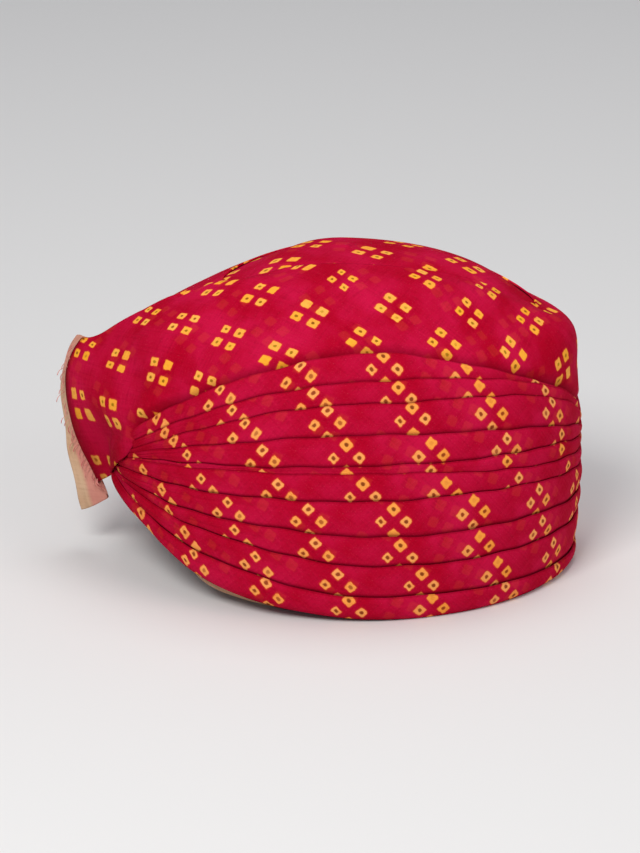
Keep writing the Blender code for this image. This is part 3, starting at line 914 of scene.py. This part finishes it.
def wound_points():
    """The ring of corners inside, along the underside and outside, and how deep each lies in a groove."""
    angles = AROUND[::2]
    rim = rim_height(angles)
    lowest_row = HEAD.row_at(np.maximum(LOWEST_HEM, rim))
    top = HEAD.row_at(WALL_TOP - LINING_CLOTH)
    inner_rows = top + (lowest_row - top)[:, None] * np.linspace(0, 1, INNER_ROWS)[None, :]
    inner = HEAD.off(angles[:, None], inner_rows, np.full((1, INNER_ROWS), LINING_CLOTH + LINING_GAP))
    inner[:, 0, 2] = WALL_TOP
    inner[:, -1, 2] = rim
    hem = outer_rim(angles)
    heights = hem[:, None] + (WALL_TOP - hem[:, None]) * np.linspace(0, 1, OUTER_ROWS)[None, :]
    outer = WOUND.at(angles[:, None], WOUND.row_at(heights))
    share = np.linspace(0, 1, LAYERS * 8 + 1)[1:-1]
    underside = inner[:, -1:] + (outer[:, :1] - inner[:, -1:]) * share[None, :, None]
    uneven = 0.10 * waves(angles, 6, (2.1, 0.9))[:, None]
    phase = share[None, :] * LAYERS + uneven * np.sin(math.pi * share)[None, :]
    groove = (1 - np.abs(np.sin(math.pi * phase))) ** 1.6
    deeper = GROOVE_DEPTH * groove * np.sin(math.pi * share)[None, :] ** 0.4
    underside[..., 2] = rim[:, None] + (hem - rim)[:, None] * share + deeper
    return np.concatenate((inner, underside, outer), axis=1), groove


wound_grid, wound_groove = wound_points()
wound_grid = np.concatenate((wound_grid, wound_grid[:, :1]), axis=1)
# Painted shade in the grooves between the wound layers
wound_groove_shade = np.zeros(wound_grid.shape[:2])
wound_groove_shade[:, INNER_ROWS : INNER_ROWS + wound_groove.shape[1]] = wound_groove
wound = new_sheet("wound_layers", wound_grid, ring_map(wound_grid, 20), wound_groove_shade)
close_seams(wound)
finish_sheet(wound)

# %% [markdown]
# ## The tail's pale layer
#
# Inside the tail lies a layer of undyed cloth. It reaches past the red cloth's edge, furthest at the bottom, and
# has taken some of the red where they touch. Where it goes in under the red cloth it gets deep red painted shade.
# A second wall on the red cloth would have the same outline. A sheet of its own, which starts between the tail
# and the folds, can have its own hem and stand off on its own.

# %% The pale layer inside the tail
PALE_COLUMNS = 71
PALE_ROWS = 111
PAST_EDGE = 0.34
LINING_TURN = math.radians(2.4)
PALE_GAP = 0.0008


def tail_lining_points():
    """Columns go from the pale edge in under the red cloth, rows from the cut hem up."""
    inwards = np.linspace(0.0, 1.0, PALE_COLUMNS)[:, None]
    up = np.linspace(0.0, 1.0, PALE_ROWS)[None, :]
    inner = np.clip((inwards - PAST_EDGE) / (1 - PAST_EDGE), 0.0, 1.0)
    beyond = 1 - np.clip(inwards / PAST_EDGE, 0.0, 1.0)
    hem = 0.0195 + 0.0070 * (1 - beyond) ** 1.3 + 0.020 * smooth(inner / 0.12) + 0.020 * inner
    top = 0.0955 + 0.0028 * (1 - beyond) + 0.0060 * smooth(inner / 0.35) - 0.0040 * inner
    height = hem + (top - hem) * up
    edge = tail_edge_angle(height)
    angle = edge - LINING_TURN * beyond + (TAIL_LINING_ROOT - edge) * inner
    behind = turn_stands_off(edge + (TAIL_LINING_ROOT - edge) * inner, height) + WRAP_CLOTH - PRESSED
    behind = behind - TURN_CLOTH - PALE_GAP
    off = behind + (edge_off(PALE_EDGE_OFF, height) - behind) * beyond**0.9
    off = off + 0.0004 * np.sin(height * 260 + 2 * beyond) * beyond
    points = WOUND.off(angle, WOUND.row_at(height), off)
    # Pink stain where the red cloth has lain; near 1, under the red cloth's edge, the material paints deep red
    # shade
    stain_and_shade = np.clip(1.0 - beyond / 0.55, 0.0, 1.0) * (0.35 + 0.65 * smooth((height - 0.03) / 0.05))
    stain_and_shade = np.maximum(stain_and_shade, 0.5 * (1 - smooth((height - 0.045) / 0.04)) * smooth((0.75 - beyond) / 0.3))
    stain_and_shade = np.maximum(stain_and_shade, 0.42 * smooth((height - 0.060) / 0.022))
    return points, height, stain_and_shade


tail_points, tail_height, tail_stain_and_shade = tail_lining_points()
tail_map = np.stack((along_lengths(tail_points[:, 40])[:, None] + 0 * tail_height, tail_height), -1)
tail_lining = new_sheet("tail_lining_cloth", tail_points, tail_map, tail_stain_and_shade)
finish_sheet(tail_lining, TAIL_LINING_CLOTH)

# %% [markdown]
# ## Frayed threads
#
# A cut edge of thin cotton frays. Threads stand along the boundary of the red and the pale cloth, and a few longer
# ones hang from the tail's tip.
# Hair particles would make thousands of curves. A few dozen flat strands, each a grid of one column, are enough at
# this size, and they are joined into one piece.

# %% Frayed threads along the tail's cut edges
THREAD_HALF_WIDTH = 0.00017
THREAD_CLOTH = 0.0002
DOWNWARDS = 0.75
Thread = namedtuple("Thread", "height inner length out")
THREADS = [
    Thread(0.094 - 0.0021 * k, 0.0, 0.0032 + 0.0026 * abs(math.sin(1.7 * k)), 0.25 + 0.40 * math.cos(1.3 * k))
    for k in range(28)
]
THREADS += [Thread(0.0352 + 0.0007 * k, 0.01 * k, 0.0052 + 0.0014 * math.sin(2.0 * k), -0.55) for k in range(5)]


def thread_points(thread):
    """The two edges of one strand, from the red cloth's edge down and off it."""
    along = np.linspace(0.0, 1.0, 7)[None, :]
    wide = np.array((-THREAD_HALF_WIDTH, THREAD_HALF_WIDTH))[:, None]
    height = thread.height - thread.length * DOWNWARDS * along + 0 * wide
    edge = tail_edge_angle(np.array(thread.height)) + thread.inner
    start = turn_stands_off(edge, np.array(thread.height)) + WRAP_CLOTH + PRESSED
    off = start + thread.length * (thread.out * along + 0.20 * np.sin(3 * along)) + wide
    angle = edge + 0.010 * along + 0 * wide
    return WOUND.off(angle, WOUND.row_at(height), off)


strands = []
for thread in THREADS:
    grid = thread_points(thread)
    strands.append(finish_sheet(new_sheet("strand", grid, grid[..., :2]), THREAD_CLOTH, quiet=True))
for strand in strands:
    strand.select_set(True)
bpy.context.view_layer.objects.active = strands[0]
bpy.ops.object.join()
tail_threads = bpy.context.view_layer.objects.active
tail_threads.name = tail_threads.data.name = "tail_threads"
tail_threads.select_set(False)
print(len(THREADS), "frayed threads with", len(tail_threads.data.polygons), "faces in all")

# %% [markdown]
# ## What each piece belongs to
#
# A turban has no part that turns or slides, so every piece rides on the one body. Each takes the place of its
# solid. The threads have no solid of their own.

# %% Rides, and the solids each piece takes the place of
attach(tail_threads, "root")
for piece, node in (
    (smooth_turn, "smooth_turn"),
    (crown, "crown_cap"),
    (lining, "lining"),
    (wound, "wound_wall"),
    (tail_lining, "tail_lining"),
    *((piece, fold.name) for piece, fold in zip(folds, FOLDS)),
):
    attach(piece, "root")
    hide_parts(node)

print(len(folds) + 6, "pieces ride on the body")

# %% [markdown]
# ## Shader maths written as Python
#
# A cloth finish is a few dozen small sums on the cloth's own coordinates. Linking Math nodes by hand hides what
# they say, so one small class wraps a socket, and an expression such as `1 - mask` adds its nodes.


# %% A level and a finish
class Level:
    """A number that varies over a surface. Sums with it add Math nodes."""

    def __init__(self, finish, socket):
        self.finish = finish
        self.socket = socket

    def sum_of(self, operation, *values):
        node = self.finish.node("ShaderNodeMath", {"operation": operation}, dict(enumerate(values)))
        return Level(self.finish, node.outputs[0])

    def __add__(self, other):
        return self.sum_of("ADD", self, other)

    def __mul__(self, other):
        return self.sum_of("MULTIPLY", self, other)

    def __sub__(self, other):
        return self.sum_of("SUBTRACT", self, other)

    def __rsub__(self, other):
        return self.sum_of("SUBTRACT", other, self)

    def __truediv__(self, other):
        return self.sum_of("DIVIDE", self, other)

    def __pow__(self, other):
        return self.sum_of("POWER", self, other)

    def __abs__(self):
        return self.sum_of("ABSOLUTE", self)

    __radd__ = __add__
    __rmul__ = __mul__

    def floor(self):
        return self.sum_of("FLOOR", self)

    def sign(self):
        return self.sum_of("SIGN", self)

    def sine(self):
        return self.sum_of("SINE", self)

    def ramp(self, low, high):
        """0 up to low, 1 from high on, and an even S between. High may be the smaller number."""
        values = {0: self, 1: low, 2: high, 3: 0.0, 4: 1.0}
        node = self.finish.node("ShaderNodeMapRange", {"interpolation_type": "SMOOTHSTEP"}, values)
        return Level(self.finish, node.outputs[0])


class Finish:
    """A material, the one method that adds its nodes, and the few that every cloth shares."""

    def __init__(self, name):
        self.material = bpy.data.materials.new(name)
        self.material.use_nodes = True
        self.tree = self.material.node_tree
        self.shader = self.tree.nodes["Principled BSDF"]

    def node(self, kind, settings=None, values=None):
        node = self.tree.nodes.new(kind)
        for key, value in (settings or {}).items():
            setattr(node, key, value)
        for key, value in (values or {}).items():
            self.put(node.inputs[key], value)
        return node

    def put(self, socket, value):
        """Links a level or a socket, or sets a plain value."""
        if isinstance(value, Level):
            value = value.socket
        if isinstance(value, bpy.types.NodeSocket):
            self.tree.links.new(value, socket)
        else:
            socket.default_value = value

    def mix(self, share, first, second):
        """A colour between two, by a level from 0 to 1."""
        return self.node("ShaderNodeMix", {"data_type": "RGBA"}, {0: share, 6: first, 7: second}).outputs[2]

    def noise(self, place, scale, detail=2.0, stretch=None):
        """Soft noise around 0.5 at a scale in features for each metre."""
        if stretch:
            place = self.node("ShaderNodeMapping", {}, {0: place, 3: stretch}).outputs[0]
        made = self.node("ShaderNodeTexNoise", {}, {"Vector": place, "Scale": scale, "Detail": detail})
        return Level(self, made.outputs[0])

    def slubs(self, place, scale, thinness):
        """Uneven threads both ways of the weave, around 1."""
        along, across = (1.0, thinness, 1.0), (thinness, 1.0, 1.0)
        return self.noise(place, scale, 2.0, along) + self.noise(place, scale, 2.0, across)

    def cloth(self):
        """The place on the cloth, in metres along its threads."""
        return self.node("ShaderNodeUVMap", {"uv_map": "cloth"}).outputs[0]

    def painted_shade_and_stain(self):
        """How much painted shade each corner gets, and on the tail's lining how much stain as well."""
        return Level(self, self.node("ShaderNodeAttribute", {"attribute_name": "painted_shade_and_stain"}).outputs[2])

    def surface(self, colour, roughness, height, strength, distance):
        """Puts the colour, the roughness and the relief of the cloth on the shader."""
        self.put(self.shader.inputs["Base Color"], colour)
        self.put(self.shader.inputs["Roughness"], roughness)
        values = {"Strength": strength, "Distance": distance, "Height": height}
        self.put(self.shader.inputs["Normal"], self.node("ShaderNodeBump", {}, values).outputs[0])


# %% [markdown]
# ## The printed cotton
#
# The cloth is a thin red cotton with a resist-dyed pattern: small squares stand in fours, yellow inside, orange
# where the dye crept in, with a dark dot where each was tied. A painted image would fix its sharpness and its
# seams, so the squares are worked out from the cloth's own metres. Folding the coordinates once for the lattice
# and once for the four squares of a cluster leaves a single square to draw.

# %% Colours of the cotton, in linear light
RED = (0.43, 0.0007, 0.017, 1)
DEEP_RED = (0.17, 0.0004, 0.005, 1)
ROSE = (0.57, 0.0060, 0.052, 1)
ORANGE = (0.80, 0.085, 0.018, 1)
YELLOW = (1.0, 0.43, 0.028, 1)
PALE_YELLOW = (1.0, 0.48, 0.090, 1)
FADED_YELLOW = (1.0, 0.37, 0.050, 1)
ROSY_YELLOW = (1.0, 0.42, 0.130, 1)
DOT = (0.42, 0.26, 0.006, 1)
DOT_DARK = (0.19, 0.050, 0.004, 1)
DOT_RED = (0.27, 0.018, 0.008, 1)
DOT_BROWN = (0.17, 0.024, 0.005, 1)
FRESH_RED = (0.75, 0.08, 0.13, 1)
# The print's measures in millimetres
PERIOD_MM = PRINT_PERIOD * 1000
SQUARE_PITCH = 8.4
SQUARE_HALF = 2.27
DYE_CREEP = 1.3
DOT_SIZE = 0.75
FOLD_DOT_SIZE = 0.95
# The faint print of the layer below, which shows through: its turn and its place
GHOST_TURN = 0.33
GHOST_PLACE = (0.0113, 0.0071)


def printed_squares(finish, cloth, dot_size, turned=0.0, shifted=(0.0, 0.0)):
    """Levels for the print: yellow, its orange border, the tied dot, and three random numbers for each square."""
    place = finish.node("ShaderNodeMapping", {}, {0: cloth, 1: (*shifted, 0.0), 2: (0.0, 0.0, turned)}).outputs[0]
    creep = finish.node("ShaderNodeTexNoise", {}, {"Vector": place, "Scale": 420.0, "Detail": 2.0}).outputs[1]
    creep = finish.node("ShaderNodeSeparateXYZ", {}, {0: creep})
    axes = finish.node("ShaderNodeSeparateXYZ", {}, {0: place})
    offsets, cells = [], []
    for k in (0, 1):
        wander = (Level(finish, creep.outputs[k]) - 0.5) * DYE_CREEP
        metre = Level(finish, axes.outputs[k]) * 1000 + wander
        cell = (metre / PERIOD_MM).floor()
        inside = metre - (cell + 0.5) * PERIOD_MM
        offsets.append(abs(inside) - SQUARE_PITCH / 2)
        cells.append(cell * 2 + inside.sign() * 0.5)
    where = finish.node("ShaderNodeCombineXYZ", {}, {0: cells[0], 1: cells[1], 2: 3.7})
    chance = finish.node("ShaderNodeTexWhiteNoise", {"noise_dimensions": "3D"}, {"Vector": where.outputs[0]})
    chances = finish.node("ShaderNodeSeparateColor", {}, {0: chance.outputs[1]})
    size, hue, tied = (Level(finish, chances.outputs[k]) for k in range(3))
    across, along = abs(offsets[0]), abs(offsets[1])
    square = (across**6 + along**6) ** (1 / 6) + (size - 0.5) * 0.5
    radius = (across**2 + along**2) ** 0.5
    yellow = square.ramp(SQUARE_HALF + 0.20, SQUARE_HALF - 0.25)
    border = square.ramp(SQUARE_HALF + 0.65, SQUARE_HALF - 0.05)
    dot = radius.ramp(dot_size + 0.45, dot_size - 0.35) * tied.ramp(0.08, 0.3)
    return yellow, border, dot, size, hue, tied


def weave(finish, cloth, pitch):
    """How high the threads of a plain weave stand, from about -1 to 1."""
    axes = finish.node("ShaderNodeSeparateXYZ", {}, {0: cloth})
    warp = (Level(finish, axes.outputs[0]) * (math.tau / pitch)).sine()
    weft = (Level(finish, axes.outputs[1]) * (math.tau / pitch)).sine()
    return warp * weft


def printed_cotton(name, dot_size, golds, ties):
    """The red cotton with its print, woven from threads that can be seen close by, with painted shade from its
    attribute.
    """
    finish = Finish(name)
    cloth = finish.cloth()
    yellow, border, dot, size, hue, tied = printed_squares(finish, cloth, dot_size)
    ghost, ghost_border, *_ = printed_squares(finish, cloth, DOT_SIZE, GHOST_TURN, GHOST_PLACE)
    broad = finish.noise(cloth, 38.0, 3.0)
    slubs = finish.slubs(cloth, 900.0, 0.10)
    specks = finish.noise(cloth, 1500.0, 2.0)
    red = finish.mix(broad.ramp(0.32, 0.70), RED, ROSE)
    red = finish.mix(slubs.ramp(0.90, 1.40) * 0.25, red, DEEP_RED)
    red = finish.mix(specks.ramp(0.58, 0.80) * 0.30, red, FRESH_RED)
    red = finish.mix(ghost_border * 0.05 + ghost * 0.06, red, ORANGE)
    red = finish.mix(border * 0.55, red, ORANGE)
    gold = finish.mix(hue, *golds)
    gold = finish.mix(slubs.ramp(0.95, 1.4) * 0.35, gold, ORANGE)
    patterned = finish.mix(yellow * (0.90 + 0.10 * size), red, gold)
    tie = finish.mix(tied, *ties)
    patterned = finish.mix(dot * 0.9, patterned, tie)
    # Painted shade: deep red where the attribute marks crevices, the gather and the tail's free edge
    shaded = finish.mix(finish.painted_shade_and_stain() * 0.55, patterned, DEEP_RED)
    height = weave(finish, cloth, 0.00042) * 0.5 + slubs * 0.9
    finish.surface(shaded, 0.74 + 0.12 * slubs.ramp(0.8, 1.3), height, 0.35, 0.00022)
    finish.shader.inputs["Specular IOR Level"].default_value = 0.02
    return finish.material


red_cotton = printed_cotton("printed red cotton", DOT_SIZE, (YELLOW, PALE_YELLOW), (DOT, DOT_DARK))
fold_golds, fold_ties = (FADED_YELLOW, ROSY_YELLOW), (DOT_RED, DOT_BROWN)
folded_cotton = printed_cotton("folded red cotton", FOLD_DOT_SIZE, fold_golds, fold_ties)
for piece in (smooth_turn, crown):
    piece.data.materials.append(red_cotton)
for piece in folds:
    piece.data.materials.append(folded_cotton)
print("the printed cotton has", len(red_cotton.node_tree.nodes), "nodes")

# %% [markdown]
# ## The wound layers' red and the undyed cloth
#
# The inner turns are the same cotton, but only its edges and its shaded side show, so its red is darkened with
# painted shade, its grooves get dark painted shade, and it has no print. The linings are undyed cotton with uneven
# threads, and a stain of red where the dyed cloth has lain on them; the tail's lining also gets deep red painted
# shade where it goes under the red cloth. One flat colour each would look like plastic, so noise is drawn out along
# the threads.

# %% The wound layers' red, darkened with painted shade
SHADED_RED = (0.30, 0.002, 0.014, 1)
PAINTED_GROOVE_SHADE = (0.06, 0.0004, 0.003, 1)


def wound_cotton():
    """The inner turns' cotton, darkened with painted shade, and nearly black with painted shade in the grooves
    between them.
    """
    finish = Finish("wound red cotton")
    cloth = finish.cloth()
    slubs = finish.noise(cloth, 700.0, 2.0, (0.06, 1.0, 1.0))
    # Painted shade: the red drifts at random towards a shaded red, for a side that lies in shade
    red = finish.mix(finish.noise(cloth, 60.0, 3.0).ramp(0.3, 0.7), SHADED_RED, RED)
    red = finish.mix(slubs.ramp(0.55, 0.75) * 0.5, red, ROSE)
    # Painted shade, nearly black, in the grooves
    red = finish.mix(finish.painted_shade_and_stain() * 0.8, red, PAINTED_GROOVE_SHADE)
    finish.surface(red, 0.78 + 0.1 * slubs, slubs + weave(finish, cloth, 0.00045) * 0.3, 0.5, 0.0003)
    finish.shader.inputs["Sheen Weight"].default_value = 0.15
    finish.shader.inputs["Specular IOR Level"].default_value = 0.25
    return finish.material


wound.data.materials.append(wound_cotton())
print("the wound cotton has", len(wound.data.materials[0].node_tree.nodes), "nodes")


# %% The undyed cloth of the linings, which has taken a little of the red
CREAM = (0.56, 0.33, 0.19, 1)
PALE_CREAM = (0.70, 0.47, 0.30, 1)
BROWN_THREAD = (0.45, 0.26, 0.15, 1)
PINK_STAIN = (0.66, 0.16, 0.17, 1)
PINK_THREAD = (0.52, 0.09, 0.10, 1)
PALE_THREAD = (0.74, 0.30, 0.24, 1)


def undyed_cloth():
    """Cream cotton, with the red stain it has taken and deep red painted shade under the red cloth, read from one
    attribute.
    """
    finish = Finish("undyed cloth")
    cloth = finish.cloth()
    slubs = finish.slubs(cloth, 800.0, 0.08)
    broad = finish.noise(cloth, 45.0, 4.0)
    stain_and_shade = finish.painted_shade_and_stain()
    tone = finish.mix(broad.ramp(0.3, 0.72), CREAM, PALE_CREAM)
    tone = finish.mix(slubs.ramp(0.85, 1.3) * 0.4, tone, BROWN_THREAD)
    tone = finish.mix(stain_and_shade.ramp(0.12, 0.75) * 0.85, tone, PINK_STAIN)
    # Deep red where the lining goes under the red cloth: the red cloth's colour, darkened as painted shade
    tone = finish.mix(stain_and_shade.ramp(0.78, 0.95), tone, DEEP_RED)
    finish.surface(tone, 0.82 + 0.1 * broad, slubs + weave(finish, cloth, 0.0005) * 0.5, 0.45, 0.0003)
    finish.shader.inputs["Sheen Weight"].default_value = 0.05
    finish.shader.inputs["Specular IOR Level"].default_value = 0.10
    return finish.material


def pink_threads():
    """Threads that are paler in places."""
    finish = Finish("pink threads")
    tone = finish.noise(finish.node("ShaderNodeTexCoord").outputs["Object"], 300.0)
    colour = finish.mix(tone.ramp(0.35, 0.65), PINK_THREAD, PALE_THREAD)
    finish.put(finish.shader.inputs["Base Color"], colour)
    finish.shader.inputs["Roughness"].default_value = 0.9
    return finish.material


undyed = undyed_cloth()
for piece in (lining, tail_lining):
    piece.data.materials.append(undyed)
tail_threads.data.materials.append(pink_threads())
print("the undyed cloth has", len(undyed.node_tree.nodes), "nodes")

# %% [markdown]
# ## Facts about the cloth
#
# Every sheet says its flat size and how it is held.
# The sizes could be measured on the mesh alone, but a strip wound round a head is known by its turn and its
# width. Only the folds' widths are measured, as half of each ring's skin.

# %% What each sheet is
FOLD_TURN = 0.60
LEAST_WIDTH = 0.0105


def declare(piece, flat, held):
    print(piece.name, "is", flat[0], "x", flat[1], "m flat,", held)


declare(smooth_turn, (0.62, 0.080), "stretched")
declare(crown, (0.17, 0.17), "stretched")
declare(lining, (0.19, 0.55), "stretched")
declare(wound, (0.13, 0.55), "folded")
declare(tail_lining, (0.045, 0.080), "hung")
for piece in folds:
    half_skin = sum(face.area for face in piece.data.polygons) / 2
    width = max(LEAST_WIDTH, round(half_skin / FOLD_TURN, 3))
    declare(piece, (width, FOLD_TURN), "gathered")

# %% [markdown]
# ## Floor, light and camera
#
# The turban stands on a plain pale floor in soft light from three square lamps: the key from the upper left, a
# weak fill from the front and a light from above and behind that parts the crown from the ground.
# A picture of a room, wrapped round the scene, would light it too, but its colours would tint the cloth. The
# camera looks at the wearer's right side from 20 degrees above, far off and with a long lens, as in the photograph.

# %% The floor
floor_finish = Finish("pale floor")
floor_finish.shader.inputs["Base Color"].default_value = (0.78, 0.77, 0.75, 1)
floor_finish.shader.inputs["Roughness"].default_value = 0.9
deselect_all()
bpy.ops.mesh.primitive_plane_add(size=30.0, location=(0, 0, 0))
floor = bpy.context.active_object
floor.name = "floor"
floor.data.materials.append(floor_finish.material)
print("the floor is", round(floor.dimensions.x), "m wide")

# %% The light
bpy.context.scene.view_settings.view_transform = "Standard"
world = bpy.data.worlds.new("studio")
bpy.context.scene.world = world
world.use_nodes = True
world.node_tree.nodes["Background"].inputs["Color"].default_value = (0.9, 0.92, 1.0, 1)
world.node_tree.nodes["Background"].inputs["Strength"].default_value = 0.34
LIT_PLACE = Vector((0.0, 0.0, 0.08))


def soft_light(name, place, size, watts):
    """A square lamp that looks at the middle of the turban."""
    lamp = bpy.data.lights.new(name, "AREA")
    lamp.shape = "SQUARE"
    lamp.size = size
    lamp.energy = watts
    lamp_object = bpy.data.objects.new(name, lamp)
    bpy.context.scene.collection.objects.link(lamp_object)
    lamp_object.location = place
    lamp_object.rotation_euler = (LIT_PLACE - Vector(place)).to_track_quat("-Z", "Y").to_euler()
    print(name, "at", place, "m with", watts, "W")


soft_light("key light", (-0.55, -1.3, 1.5), 0.8, 25.0)
soft_light("fill light", (1.3, -0.9, 0.9), 1.0, 5.2)
soft_light("top light", (0.1, 0.5, 1.8), 0.9, 8.0)

# %% The camera
CAMERA_DISTANCE = 2.2
CAMERA_ELEVATION = math.radians(20)
VIEW_HEIGHT = 0.4137
SENSOR = 36.0
AIM = Vector((AXIS_X - 0.0141, 0.0201, 0.0553))
camera_data = bpy.data.cameras.new("camera")
camera_data.sensor_fit = "VERTICAL"
camera_data.sensor_height = camera_data.sensor_width = SENSOR
camera_data.lens = SENSOR * CAMERA_DISTANCE / VIEW_HEIGHT
camera = bpy.data.objects.new("camera", camera_data)
bpy.context.scene.collection.objects.link(camera)
towards = Vector((0.0, -math.cos(CAMERA_ELEVATION), math.sin(CAMERA_ELEVATION)))
camera.location = AIM + CAMERA_DISTANCE * towards
camera.rotation_euler = (-towards).to_track_quat("-Z", "Y").to_euler()
bpy.context.scene.camera = camera
print("the lens is", round(camera_data.lens), "mm long")
